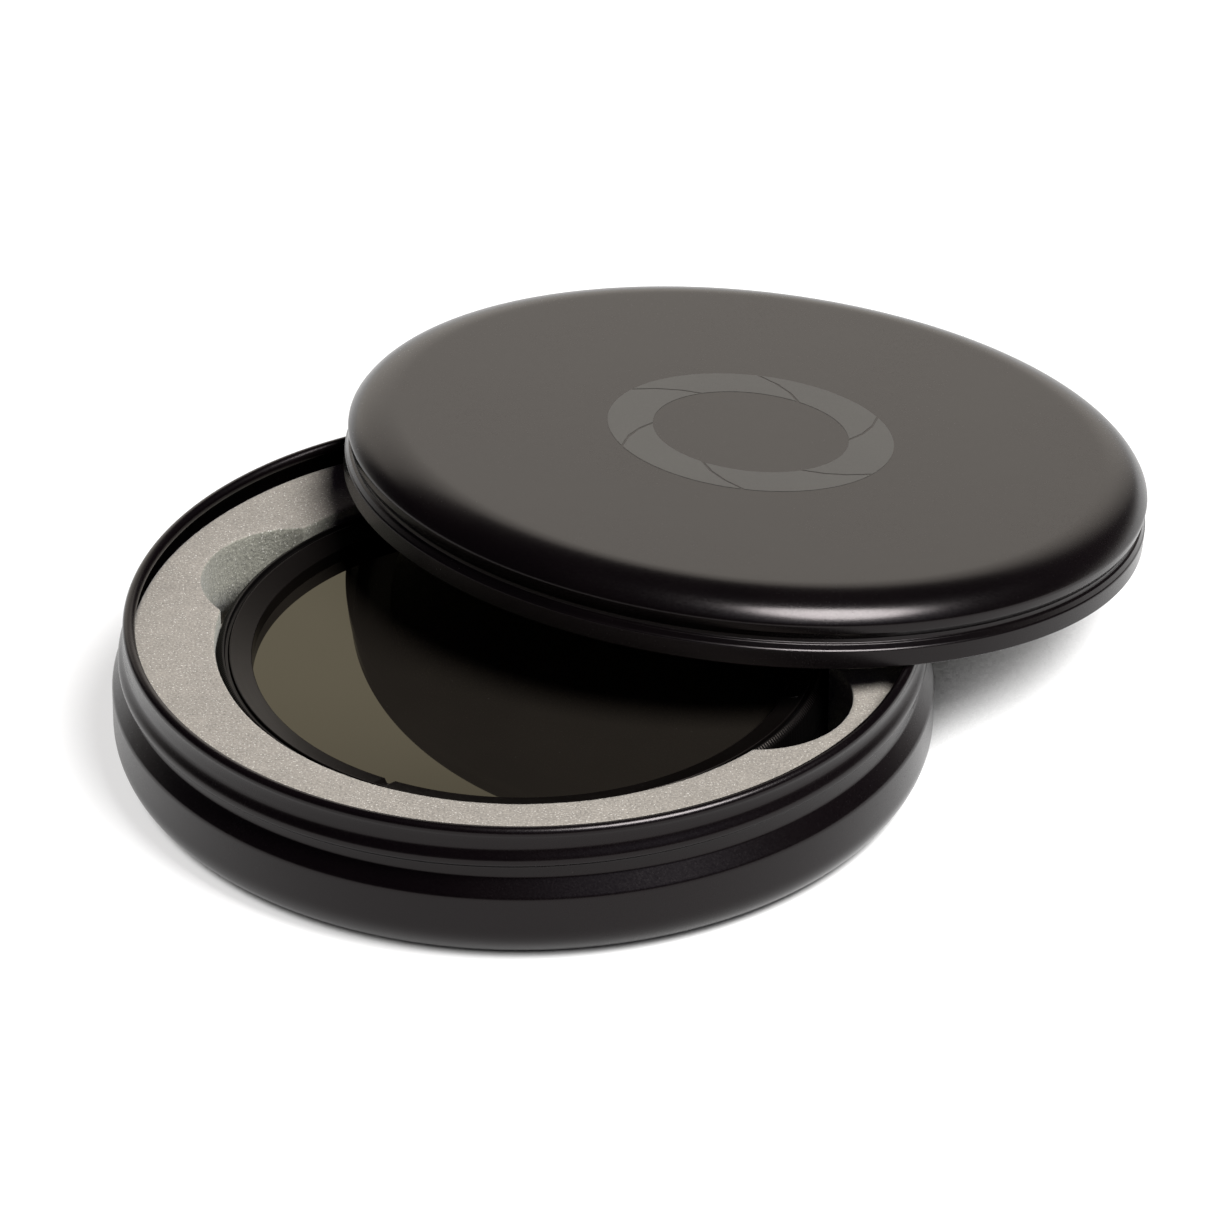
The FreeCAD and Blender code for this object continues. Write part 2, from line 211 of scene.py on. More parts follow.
def ripple(phi, seed, waves):
    """A smooth uneven line round a circle, about -1 to 1, made of a few whole waves."""
    source = np.random.default_rng(seed)
    total = np.zeros_like(phi)
    size = 0.0
    for wave in waves:
        share = source.uniform(0.5, 1.0)
        total += share * np.sin(wave * phi + source.uniform(0, TURN))
        size += share
    return total / size


def smooth_step(x, start, end):
    """0 before the start, 1 after the end, and smooth between them."""
    share = np.clip((x - start) / (end - start), 0, 1)
    return share * share * (3 - 2 * share)


# ------------------------------------------------------------------ material helpers

def new_tree(name):
    """A new material and its empty node tree."""
    material = bpy.data.materials.new(name)
    material.use_nodes = True
    material.node_tree.nodes.clear()
    return material, material.node_tree


def add(tree, kind, inputs=None, **settings):
    """A new shader node. An input is a plain value or another node's socket."""
    made = tree.nodes.new("ShaderNode" + kind)
    for name, value in settings.items():
        setattr(made, name, value)
    for name, value in (inputs or {}).items():
        if isinstance(value, bpy.types.NodeSocket):
            tree.links.new(value, made.inputs[name])
        else:
            made.inputs[name].default_value = value
    return made


def calc(tree, operation, first, second):
    return add(tree, "Math", {0: first, 1: second}, operation=operation).outputs[0]


def blend(tree, share, first, second):
    return add(tree, "Mix", {0: share, 6: first, 7: second}, data_type="RGBA").outputs[2]


def spread(tree, value, start, end, low_end=0.0, high_end=1.0):
    """A smooth step of a value, from low_end at start to high_end at end."""
    return add(tree, "MapRange", {"Value": value, "From Min": start, "From Max": end,
                                  "To Min": low_end, "To Max": high_end},
               interpolation_type="SMOOTHSTEP").outputs[0]


def grain(tree, at, scale, detail=2.0, rough=0.5):
    return add(tree, "TexNoise", {"Vector": at, "Scale": scale, "Detail": detail,
                                  "Roughness": rough}).outputs[0]


def share_along(tree, direction, axis):
    """How much of a direction lies along an axis."""
    return add(tree, "VectorMath", {0: direction, 1: axis},
               operation="DOT_PRODUCT").outputs["Value"]


def object_place(tree):
    return add(tree, "TexCoord").outputs["Object"]


def colour(r, g, b):
    return (r, g, b, 1.0)


def close(material, tree, shader):
    """Send the shader to the material's output."""
    add(tree, "OutputMaterial", {"Surface": shader})
    return material


def lacquer(name, dark, pale, roughness):
    """Satin black stove enamel: faint orange peel, fine grain, a little dust."""
    material, tree = new_tree(name)
    at = object_place(tree)
    cloud = grain(tree, at, 45.0, 3.0)
    peel = grain(tree, at, 420.0, 1.0)
    fine = grain(tree, at, 3600.0, 2.0)
    specks = add(tree, "TexVoronoi", {"Vector": at, "Scale": 240.0}).outputs["Distance"]
    dust = calc(tree, "MULTIPLY", spread(tree, specks, 0.035, 0.015),
                spread(tree, cloud, 0.5, 0.62))
    tone = blend(tree, spread(tree, cloud, 0.3, 0.7), colour(*dark), colour(*pale))
    tone = blend(tree, calc(tree, "MULTIPLY", dust, 0.04), tone, colour(0.35, 0.33, 0.3))
    rough = calc(tree, "ADD", roughness,
                 calc(tree, "MULTIPLY", calc(tree, "SUBTRACT", cloud, 0.5), 0.08))
    rough = calc(tree, "ADD", rough,
                 calc(tree, "MULTIPLY", calc(tree, "SUBTRACT", fine, 0.5), 0.16))
    height = calc(tree, "ADD", calc(tree, "MULTIPLY", peel, 0.9),
                  calc(tree, "MULTIPLY", fine, 0.5))
    normal = add(tree, "Bump", {"Height": height, "Strength": 0.6, "Distance": 0.00001})
    shader = add(tree, "BsdfPrincipled", {
        "Base Color": tone, "Roughness": rough, "IOR": 1.31,
        "Specular Tint": colour(1.0, 0.92, 0.92), "Normal": normal.outputs[0]})
    return close(material, tree, shader.outputs[0])


def foam_stuff(name, top, wall, painted_glint_share):
    """Cut polyethylene foam: closed cells with fine painted glints, which are bright specks
    painted into the colour and also a little glossier; coarser and greener where cut.
    """
    material, tree = new_tree(name)
    at = object_place(tree)
    facing = add(tree, "SeparateXYZ", {0: add(tree, "NewGeometry").outputs["Normal"]}).outputs[2]
    cut_side = spread(tree, facing, 0.75, 0.3)
    cloud = grain(tree, at, 60.0, 3.0)
    blotch = grain(tree, at, 420.0, 2.0)
    fine = grain(tree, at, 2900.0, 3.0, 0.7)
    coarse = grain(tree, at, 1500.0, 3.0, 0.65)
    cells = add(tree, "TexVoronoi", {"Vector": at, "Scale": 1900.0}).outputs["Distance"]
    tone = blend(tree, cut_side, colour(*top), colour(*wall))
    shade = calc(tree, "ADD", 0.90, calc(tree, "MULTIPLY",
                                         calc(tree, "SUBTRACT", cloud, 0.5), 0.25))
    shade = calc(tree, "ADD", shade, calc(tree, "MULTIPLY",
                                          calc(tree, "SUBTRACT", blotch, 0.5), 0.3))
    shade = calc(tree, "ADD", shade, calc(tree, "MULTIPLY",
                                          calc(tree, "SUBTRACT", fine, 0.5), 1.7))
    tone = add(tree, "VectorMath", {0: tone, "Scale": shade}, operation="SCALE").outputs[0]
    # painted glints: bright specks painted into the colour stand in for light caught by the cells;
    # the same specks are also given a lower roughness
    painted_glint = spread(tree, grain(tree, at, 4300.0, 1.0), 0.64, 0.72)
    tone = blend(tree, calc(tree, "MULTIPLY", painted_glint, painted_glint_share), tone, colour(0.62, 0.60, 0.56))
    rough = calc(tree, "SUBTRACT", 0.8, calc(tree, "MULTIPLY", painted_glint, 0.45))
    pores = calc(tree, "ADD", calc(tree, "MULTIPLY", cells, 0.5), fine)
    pores = calc(tree, "ADD", pores,
                 calc(tree, "MULTIPLY", calc(tree, "MULTIPLY", coarse, cut_side), 1.8))
    normal = add(tree, "Bump", {"Height": pores, "Strength": 0.6, "Distance": 0.00012})
    shader = add(tree, "BsdfPrincipled", {
        "Base Color": tone, "Roughness": rough, "IOR": 1.45, "Normal": normal.outputs[0],
        "Sheen Weight": 0.1, "Sheen Roughness": 0.5})
    return close(material, tree, shader.outputs[0])


def anodised(name, dark, roughness):
    """Black anodised aluminium with the fine round lines that a lathe leaves."""
    material, tree = new_tree(name)
    at = object_place(tree)
    parts = add(tree, "SeparateXYZ", {0: at})
    flat = add(tree, "CombineXYZ", {0: parts.outputs[0], 1: parts.outputs[1], 2: 0.0}).outputs[0]
    radius = add(tree, "VectorMath", {0: flat}, operation="LENGTH").outputs["Value"]
    profile = add(tree, "CombineXYZ", {0: radius, 1: parts.outputs[2], 2: 0.0}).outputs[0]
    lines = grain(tree, profile, 7800.0, 2.0)
    fine = grain(tree, at, 3000.0, 2.0)
    cloud = grain(tree, at, 120.0, 2.0)
    tone = blend(tree, spread(tree, cloud, 0.3, 0.7), colour(*dark),
                 colour(*(c * 1.5 for c in dark)))
    rough = calc(tree, "ADD", roughness - 0.06, calc(tree, "MULTIPLY", lines, 0.12))
    height = calc(tree, "ADD", lines, calc(tree, "MULTIPLY", fine, 0.5))
    normal = add(tree, "Bump", {"Height": height, "Strength": 0.5, "Distance": 0.000012})
    shader = add(tree, "BsdfPrincipled", {
        "Base Color": tone, "Roughness": rough, "IOR": 1.235,
        "Specular Tint": colour(1.0, 0.88, 0.80), "Normal": normal.outputs[0]})
    return close(material, tree, shader.outputs[0])


def plain_metal(name, tone, roughness):
    """Bright spring steel or a steel pin, drawn lengthwise."""
    material, tree = new_tree(name)
    at = object_place(tree)
    fine = grain(tree, at, 2600.0, 3.0)
    rough = calc(tree, "ADD", roughness, calc(tree, "MULTIPLY", fine, 0.15))
    shade = blend(tree, fine, colour(*tone), colour(*(c * 0.7 for c in tone)))
    normal = add(tree, "Bump", {"Height": fine, "Strength": 0.3, "Distance": 0.00001})
    shader = add(tree, "BsdfPrincipled", {
        "Base Color": shade, "Metallic": 1.0, "Roughness": rough, "Normal": normal.outputs[0]})
    return close(material, tree, shader.outputs[0])


def moulded(name, tone, roughness):
    """Moulded plastic with a fine matt texture."""
    material, tree = new_tree(name)
    at = object_place(tree)
    fine = grain(tree, at, 2200.0, 3.0)
    shade = blend(tree, fine, colour(*tone), colour(*(c * 1.35 for c in tone)))
    rough = calc(tree, "ADD", roughness, calc(tree, "MULTIPLY", fine, 0.2))
    normal = add(tree, "Bump", {"Height": fine, "Strength": 0.4, "Distance": 0.00002})
    shader = add(tree, "BsdfPrincipled", {
        "Base Color": shade, "Roughness": rough, "Normal": normal.outputs[0]})
    return close(material, tree, shader.outputs[0])


def clear_layer(name, passing, mirror, index, haze):
    """A see-through layer that reflects on its outer faces only, with a trace of dust and haze."""
    material, tree = new_tree(name)
    at = object_place(tree)
    cloud = grain(tree, at, 60.0, 3.0)
    dots = add(tree, "TexVoronoi", {"Vector": at, "Scale": 420.0}).outputs["Distance"]
    dust = calc(tree, "MULTIPLY", spread(tree, dots, 0.03, 0.01), 0.06)
    through = add(tree, "BsdfTransparent", {"Color": blend(
        tree, spread(tree, cloud, 0.3, 0.7), colour(*passing),
        colour(*(c * 0.94 for c in passing)))}).outputs[0]
    rough = calc(tree, "ADD", haze, calc(tree, "MULTIPLY", cloud, haze))
    shine = add(tree, "BsdfGlossy", {"Color": colour(*mirror), "Roughness": rough}).outputs[0]
    edge = add(tree, "Fresnel", {"IOR": index}).outputs[0]
    front = calc(tree, "SUBTRACT", 1.0, add(tree, "NewGeometry").outputs["Backfacing"])
    share = calc(tree, "MULTIPLY", edge, front)
    body = add(tree, "MixShader", {0: share, 1: through, 2: shine}).outputs[0]
    film = add(tree, "BsdfDiffuse", {"Color": colour(0.3, 0.29, 0.26)}).outputs[0]
    dusty = calc(tree, "MULTIPLY", dust, front)
    return close(material, tree, add(tree, "MixShader", {0: dusty, 1: body, 2: film}).outputs[0])


def dark_glass(name, body, mirror, index, haze):
    """Coated glass over a nearly black film: amber reflections, a dim body, a trace of dust."""
    material, tree = new_tree(name)
    at = object_place(tree)
    cloud = grain(tree, at, 60.0, 3.0)
    veil = grain(tree, at, 14.0, 2.0)
    dots = add(tree, "TexVoronoi", {"Vector": at, "Scale": 420.0}).outputs["Distance"]
    dust = calc(tree, "MULTIPLY", spread(tree, dots, 0.03, 0.01), 0.25)
    tone = blend(tree, spread(tree, cloud, 0.3, 0.7), colour(*body),
                 colour(*(c * 1.12 for c in body)))
    tone = blend(tree, dust, tone, colour(0.1, 0.095, 0.085))
    rough = calc(tree, "ADD", haze, calc(tree, "MULTIPLY", veil, haze))
    shader = add(tree, "BsdfPrincipled", {
        "Base Color": tone, "Roughness": rough, "IOR": index, "Specular Tint": colour(*mirror)})
    return close(material, tree, shader.outputs[0])


def polariser(name, tone):
    """Crossed polarising film: so dark that hardly anything shows through."""
    material, tree = new_tree(name)
    at = object_place(tree)
    parts = add(tree, "SeparateXYZ", {0: at})
    drawn = add(tree, "CombineXYZ", {
        0: calc(tree, "MULTIPLY", parts.outputs[0], 0.06), 1: parts.outputs[1],
        2: parts.outputs[2]}).outputs[0]
    streak = grain(tree, drawn, 380.0, 3.0)
    cloud = grain(tree, at, 45.0, 2.0)
    shade = calc(tree, "ADD", 0.85, calc(tree, "MULTIPLY", streak, 0.15))
    shade = calc(tree, "ADD", shade, calc(tree, "MULTIPLY", cloud, 0.15))
    dyed = add(tree, "VectorMath", {0: tone, "Scale": shade}, operation="SCALE").outputs[0]
    shader = add(tree, "BsdfPrincipled", {
        "Base Color": dyed, "Roughness": 0.6, "Specular IOR Level": 0.1})
    return close(material, tree, shader.outputs[0])


TIN_BLACK = lacquer("tin_lacquer", (0.0009, 0.0005, 0.0007), (0.0015, 0.0009, 0.0011), 0.24)
LID_BLACK = lacquer("lid_lacquer", (0.0009, 0.0006, 0.0007), (0.0015, 0.0010, 0.0011), 0.24)
MARK_INK = lacquer("mark_ink", (0.020, 0.020, 0.019), (0.025, 0.025, 0.023), 0.32)
FOAM = foam_stuff("grey_foam", (0.168, 0.152, 0.131), (0.166, 0.163, 0.134), 0.45)
PALE_FOAM = foam_stuff("lid_foam", (0.180, 0.168, 0.150), (0.168, 0.162, 0.138), 0.3)
RING_BLACK = anodised("ring_anodised", (0.0010, 0.0009, 0.0009), 0.30)
BEZEL_BLACK = anodised("bezel_anodised", (0.0014, 0.0011, 0.0010), 0.32)
TICK_INK = moulded("tick_ink", (0.07, 0.068, 0.064), 0.5)
BLACK_PLASTIC = moulded("blackened_spacer", (0.006, 0.006, 0.006), 0.55)
WHITE_PLASTIC = moulded("white_washer", (0.72, 0.71, 0.68), 0.4)
SPRING = plain_metal("spring_steel", (0.55, 0.54, 0.52), 0.28)
PIN = plain_metal("pin_steel", (0.62, 0.60, 0.56), 0.25)
GLASS = dark_glass("coated_glass", (0.0062, 0.0052, 0.0042), (0.82, 0.70, 0.21), 1.46, 0.012)
INNER_GLASS = clear_layer("inner_glass", (0.95, 0.95, 0.93), (0.5, 0.5, 0.45), 1.05, 0.02)
FILM = polariser("polariser", (0.0060, 0.0050, 0.0036))


def dress(piece, body, slot_name, material, *stands_for):
    """Give a new piece its material, body and the CAD nodes it stands for. Its slot_name is not
    used.
    """
    piece.data.materials.append(material)
    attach(piece, body)
    if stands_for:
        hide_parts(*stands_for)


def redress(node, material):
    """Give a CAD node that keeps its own shape a better material."""
    for material_slot in NODES[node].material_slots:
        material_slot.material = material


# ------------------------------------------------------------------ base tin

WALL = 0.35
BODY_TOP = 9.95
SHOULDER_TOP = 12.4
NECK = 53.3
BASE_RADIUS = 55.0
BASE_CORNER = 4.9
BEAD_TUBE = 0.83
BEAD_CENTRE = (52.54, high("base_tin", 2) - BEAD_TUBE)
RIDGE_LOWER = 0.95
RIDGE_FRONT = 14.8
RIDGE_LEAD = 4.0
# how far from its two ends at the back, in turns, the ridge starts to stand out and is full
RIDGE_START = 0.015
RIDGE_FULL = 0.06
# the rolled ridge's section: heights from its crest, and how far it stands out there
RIDGE_SECTION = (
    (-1.05, 0.0), (-0.95, 0.01), (-0.82, 0.05), (-0.68, 0.14), (-0.56, 0.30), (-0.46, 0.50),
    (-0.37, 0.66), (-0.27, 0.76), (-0.14, 0.795), (0.0, 0.8), (0.25, 0.8), (0.42, 0.785),
    (0.58, 0.74), (0.75, 0.66), (0.95, 0.545), (1.15, 0.42), (1.35, 0.30), (1.55, 0.19),
    (1.72, 0.11), (1.9, 0.045), (2.1, 0.012), (2.3, 0.0))
BASE_FLAT = 30.0
BASE_SEGMENTS = 720


def make_base():
    """The pressed tin: round bottom corner, sloping shoulder, rolled ridge, curled bead."""
    phi = angles(BASE_SEGMENTS)
    # how far round from the front, in turns, anticlockwise from -0.5 to 0.5
    turns = (phi / TURN + 0.25 + 0.5) % 1.0 - 0.5
    from_end = 0.5 - np.abs(turns)
    strength = smooth_step(from_end, RIDGE_START, RIDGE_FULL)
    crest = RIDGE_FRONT + RIDGE_LEAD * turns * np.clip(from_end / RIDGE_START, 0, 1)

    rows = [(0.0, 0.0), (BASE_FLAT, 0.0), (BASE_RADIUS - BASE_CORNER - 0.4, 0.0)]
    rows += arc((BASE_RADIUS - BASE_CORNER, BASE_CORNER), BASE_CORNER, -90, 0, 16)
    rows += [(BASE_RADIUS, BASE_CORNER + 0.5)]
    rows += rounded([
        (BASE_RADIUS, BASE_CORNER + 1),
        (BASE_RADIUS, BODY_TOP, 1.1),
        (NECK, SHOULDER_TOP, 0.8),
        (NECK, SHOULDER_TOP + 2.0)], steps=9)[1:-2]
    lowest = rows[-1][1]
    for offset, stand in RIDGE_SECTION:
        # where the ridge would run below the neck's foot, its rows are packed just above it
        z = np.maximum(crest + offset, lowest + 0.02 * (offset + RIDGE_LOWER + 0.3))
        rows.append((NECK + stand * strength, z))
    top = rows[-1][1]
    rows.append((NECK, (top + BEAD_CENTRE[1] - 0.5) / 2))
    rows.append((NECK, BEAD_CENTRE[1] - 0.42))
    rows += arc(BEAD_CENTRE, BEAD_TUBE, -18, 262, 34)
    inner = NECK - WALL
    rows += [(inner, BEAD_CENTRE[1] - BEAD_TUBE - 0.1), (inner, SHOULDER_TOP + 0.5)]
    rows += rounded([
        (inner, SHOULDER_TOP + 1),
        (inner, SHOULDER_TOP, 0.8),
        (BASE_RADIUS - WALL, BODY_TOP, 1.1),
        (BASE_RADIUS - WALL, BASE_CORNER)], steps=5)[1:-1]
    rows += arc((BASE_RADIUS - BASE_CORNER, BASE_CORNER), BASE_CORNER - WALL, 0, -90, 10)
    rows += [(BASE_FLAT, WALL), (0.0, WALL)]
    shell = turned("base_shell", rows, BASE_SEGMENTS)
    dress(shell, "base", "tin_metal", TIN_BLACK, "base_tin")


# ------------------------------------------------------------------ foam

POCKET = 41.2
NOTCH_RADIUS = 13.1
NOTCH_OFFSET = 34.0
NOTCH_DIRECTIONS = (154.0, -26.0)
# the foam's corners at the tin wall and at the pocket: how far into the foam from its edge,
# and how far down from its top
FOAM_OUTER_CORNER = ((0.0, 1.4), (0.18, 0.8), (0.42, 0.3), (0.7, 0.08))
FOAM_CUT_CORNER = ((0.18, 0.06), (0.05, 0.16), (0.0, 0.34), (-0.02, 0.9))
FOAM_TOP_SHARES = (0.03, 0.15, 0.3, 0.5, 0.7, 0.85, 0.96)
FOAM_SAG = 0.04
PAD_SEGMENTS = 180
FOAM_SEGMENTS = 1440


def pocket_outline(phi):
    """Distance of the pocket's edge from the middle, at each angle."""
    edge = np.full_like(phi, POCKET)
    for direction in NOTCH_DIRECTIONS:
        off = phi - math.radians(direction)
        inside = NOTCH_RADIUS ** 2 - (NOTCH_OFFSET * np.sin(off)) ** 2
        reach = NOTCH_OFFSET * np.cos(off) + np.sqrt(np.maximum(inside, 0))
        reach = np.where((inside > 0) & (np.cos(off) > 0), reach, 0)
        edge = np.maximum(edge, reach)
    return edge


def make_foam():
    """The foam tray with its pocket, which is cut a little unevenly, and the pad under it."""
    phi = angles(FOAM_SEGMENTS)
    bottom = low("foam_tray", 2)
    top = high("foam_tray", 2)
    rim = high("foam_tray", 0)
    edge = pocket_outline(phi)
    edge = edge + 0.05 * ripple(phi, 5, range(9, 40, 3))
    edge = edge + 0.035 * ripple(phi, 6, range(90, 330, 17))
    swell = 0.06 * ripple(phi, 7, range(3, 14, 2))
    rows = [(rim, bottom), (rim, (bottom + top) / 2)]
    rows += [(rim - inward, top - drop) for inward, drop in FOAM_OUTER_CORNER]
    for share in FOAM_TOP_SHARES:
        radius = (rim - 0.8) * (1 - share) + (edge + 0.35) * share
        rows.append((radius, top - FOAM_SAG + swell * math.sin(math.pi * share)))
    rows += [(edge + outward, top - drop) for outward, drop in FOAM_CUT_CORNER]
    rows += [(edge, (bottom + top) / 2), (edge, bottom)]
    tray = turned("foam_insert", rows, FOAM_SEGMENTS, ring=True)
    dress(tray, "base", "foam", FOAM, "foam_tray")

    floor_radius = high("foam_floor", 0)
    floor_low = low("foam_floor", 2)
    floor_top = high("foam_floor", 2)
    outline = rounded([(0.0, floor_low), (floor_radius, floor_low, 0.5),
                       (floor_radius, floor_top, 0.4), (0.0, floor_top)])
    pad = turned("foam_base_pad", outline, PAD_SEGMENTS)
    dress(pad, "base", "foam", FOAM, "foam_floor")


# ------------------------------------------------------------------ lid

LID_RADIUS = 55.05
SKIRT_RADIUS = 55.2
SKIRT_HEIGHT = 2.5
STEP = (55.03, 2.7)
CREST = (54.74, 3.35)
GROOVE_RADIUS = 54.4
GROOVE_LOW = 3.5
GROOVE_HIGH = 4.05
LID_WALL_LOW = 4.95
LID_WALL_FOOT = 54.87
LID_FLAT = 25.0
LID_FLAT_INSIDE = 20.0
LID_SEGMENTS = 720
# the lid's soft corner has a tight bend beside the wall, which opens out in two steps, each
# between two slopes in degrees, where 90 is the flat top
BEND = 1.0
BEND_STEPS = ((3.9, 24, 34), (6.0, 60, 74))
BEND_POINTS = 46
LINER_RADIUS = 49.5
LINER_GLUE = 0.05
LINER_SEGMENTS = 240
MARK_OUTER = 19.7
MARK_INNER = 13.5
MARK_LIFT = 0.03
MARK_SUNK = 0.01
MARK_BLADES = 6
MARK_GAP = 0.55
MARK_SLANT = math.radians(26)
MARK_STEPS = 40
MARK_ROWS = 3


def shoulder(inset, top):
    """The lid's soft corner from its wall up to its flat top, as outline points.

    It leaves the wall in a tight bend, runs on at a nearly even slope, and eases into the top.
    """
    slope = np.radians(np.linspace(0, 90, BEND_POINTS))
    bend = BEND - inset
    for more, start, end in BEND_STEPS:
        bend = bend + more * smooth_step(slope, math.radians(start), math.radians(end))

    def summed(speed):
        steps = (speed[1:] + speed[:-1]) / 2 * (slope[1] - slope[0])
        return np.concatenate(([0], np.cumsum(steps)))

    reach = summed(bend * np.sin(slope))
    climb = summed(bend * np.cos(slope))
    return [(LID_RADIUS - inset - r, top - inset - climb[-1] + z) for r, z in zip(reach, climb)]


def make_lid():
    """The pressed lid, the foam disc glued in it, and the mark printed on it."""
    top = LID_HEIGHT
    outside = shoulder(0.0, top)
    inside = shoulder(WALL, top)
    outline = [(0.0, top), (LID_FLAT, top), (outside[-1][0] - 1.0, top)]
    outline += outside[::-1]
    outline += rounded([
        outside[0],
        (LID_WALL_FOOT, LID_WALL_LOW, 0.35),
        (GROOVE_RADIUS, GROOVE_HIGH, 0.3),
        (GROOVE_RADIUS, GROOVE_LOW, 0.12),
        (*CREST, 0.16),
        (*STEP, 0.1),
        (SKIRT_RADIUS, SKIRT_HEIGHT, 0.3),
        (SKIRT_RADIUS, 0.0, 0.16),
        (SKIRT_RADIUS - WALL, 0.0, 0.12),
        (SKIRT_RADIUS - WALL, SKIRT_HEIGHT - 0.2, 0.2),
        (GROOVE_RADIUS - WALL, GROOVE_LOW - 0.2, 0.2),
        (GROOVE_RADIUS - WALL, GROOVE_HIGH + 0.2, 0.2),
        (LID_WALL_FOOT - WALL, LID_WALL_LOW + 0.15, 0.2),
        inside[0],
    ], steps=6)[1:]
    outline += inside[1:] + [(LID_FLAT_INSIDE, top - WALL), (0.0, top - WALL)]
    shell = turned("lid_shell", outline, LID_SEGMENTS, place=LID_PLACE)
    dress(shell, "lid", "tin_metal", LID_BLACK, "lid_tin")

    back = top - WALL - LINER_GLUE
    pad = rounded([(0.0, back), (LINER_RADIUS - 0.1, back, 0.4),
                   (LINER_RADIUS, LINER_FACE, 0.5), (0.0, LINER_FACE)])
    liner = turned("lid_foam_disc", pad, LINER_SEGMENTS, place=LID_PLACE)
    dress(liner, "lid", "foam", PALE_FOAM, "lid_liner")

    dress(make_mark(top), "lid", "tin_metal", MARK_INK)


def make_mark(top):
    """A printed ring of six aperture blades with narrow slanting gaps between them."""
    points = []
    faces = []
    for blade in range(MARK_BLADES):
        begin = blade * TURN / MARK_BLADES
        finish = begin + TURN / MARK_BLADES
        first = len(points)
        for i in range(MARK_STEPS + 1):
            share = i / MARK_STEPS
            for j in range(MARK_ROWS + 1):
                radius = MARK_INNER + (MARK_OUTER - MARK_INNER) * j / MARK_ROWS
                trim = MARK_GAP / 2 / radius
                a = (begin + trim) * (1 - share) + (finish - trim) * share
                a += MARK_SLANT * j / MARK_ROWS
                points.append((radius * math.cos(a) * MM, radius * math.sin(a) * MM,
                               (top + MARK_LIFT) * MM))
        for i in range(MARK_STEPS):
            for j in range(MARK_ROWS):
                a = first + i * (MARK_ROWS + 1) + j
                b = a + MARK_ROWS + 1
                faces.append((a, a + 1, b + 1, b))
    mark = new_object("lid_mark", points, faces, LID_PLACE, flat=True)
    thicken(mark, MARK_LIFT + MARK_SUNK)
    return mark


# ------------------------------------------------------------------ filter

RING = 41.0
TEETH = 540
TOOTH_DEPTH = 0.17
TOOTH_SHAPE = (0.0, 0.55, 1.0, 0.55)
LIP = 39.9
APERTURE = 36.0
SEAT_DEPTH = 0.35
BEZEL_SEAT = 11.7
GLASS_POCKET = 37.68
SEAT_SEGMENTS = 360
BEZEL_OUTER = 39.3
BEZEL_INNER = 36.25
BEZEL_INNER_TOP = 13.6
BEZEL_SEGMENTS = 1440
# two spanner slots across the bezel's inner part
SPANNER_SLOTS = (62, 242)
SPANNER_SLOT_HALF = (0.55, 0.72)
SPANNER_SLOT_FLOOR = 12.9
SPANNER_SLOT_REACH = 38.1
# index ticks on the bezel's sloping face: angles in degrees, sizes in millimetres
TICKS = 13
TICK_START = -19
TICK_PITCH = 5
TICK_LONG_EVERY = 3
TICK_LONG = 1.05
TICK_SHORT = 0.6
TICK_HALF_WIDTH = 0.055
TICK_INNER = 37.55
TICK_LIFT = 0.012
TICK_DEPTH = 0.02
REAR_STEP = 6.95
REAR_POCKET = 37.15
FLANGE_LOW = 6.45
FLANGE_TOP = 7.7
THREAD_NOSE = 38.1
THREAD_NECK = 38.3
THREAD_ROOT = 38.22
THREAD_CREST = 38.5
THREAD_PITCH = 0.5
THREAD_TURNS = 4
REAR_SEGMENTS = 720


def make_front_ring():
    """The turning ring: a knurled rim, a soft top corner and a lip round the bezel."""
    tooth = np.tile(TOOTH_SHAPE, TEETH) * TOOTH_DEPTH
    bottom = low("front_ring", 2)
    top = high("front_ring", 2)
    bore = BEZEL_OUTER + 0.05
    rows = [
        (bore, bottom), (RING - 0.6, bottom), (RING - 0.35, bottom + 0.02),
        (RING - 0.26, bottom + 0.3), (RING - 0.26, bottom + 0.5),
        (RING - tooth * 0.3 - 0.1, bottom + 0.62), (RING - tooth, bottom + 0.8),
        (RING - tooth, (bottom + top) / 2), (RING - tooth, top - 0.95),
        (RING - tooth - 0.06, top - 0.72), (RING - tooth - 0.3, top - 0.42),
        (RING - tooth * 0.8 - 0.6, top - 0.12), (RING - tooth * 0.3 - 0.78, top - 0.02),
        (RING - 0.9, top), (LIP + 0.1, top), (LIP + 0.03, top - 0.03), (LIP, top - 0.12),
        (LIP - 0.02, top - 0.4), (LIP - 0.08, top - 0.48), (LIP - 0.2, top - 0.5),
        (bore + 0.15, top - 0.5), (bore + 0.03, top - 0.55), (bore, top - 0.7), (bore, bottom),
    ]
    ring = turned("filter_grip_ring", rows, len(tooth))
    dress(ring, "filter_front", "ring_metal", RING_BLACK, "front_ring")


def make_seat_ring():
    """The step inside the turning ring that the front glass lies on."""
    seat = low("front_glass_spacer", 2)
    outer = BEZEL_OUTER + 0.02
    outline = [
        (APERTURE, seat - SEAT_DEPTH), (outer, seat - SEAT_DEPTH), (outer, BEZEL_SEAT),
        (GLASS_POCKET, BEZEL_SEAT), (GLASS_POCKET, seat), (APERTURE, seat)]
    ring = turned("filter_glass_seat", outline, SEAT_SEGMENTS, ring=True)
    dress(ring, "filter_front", "ring_metal", RING_BLACK)


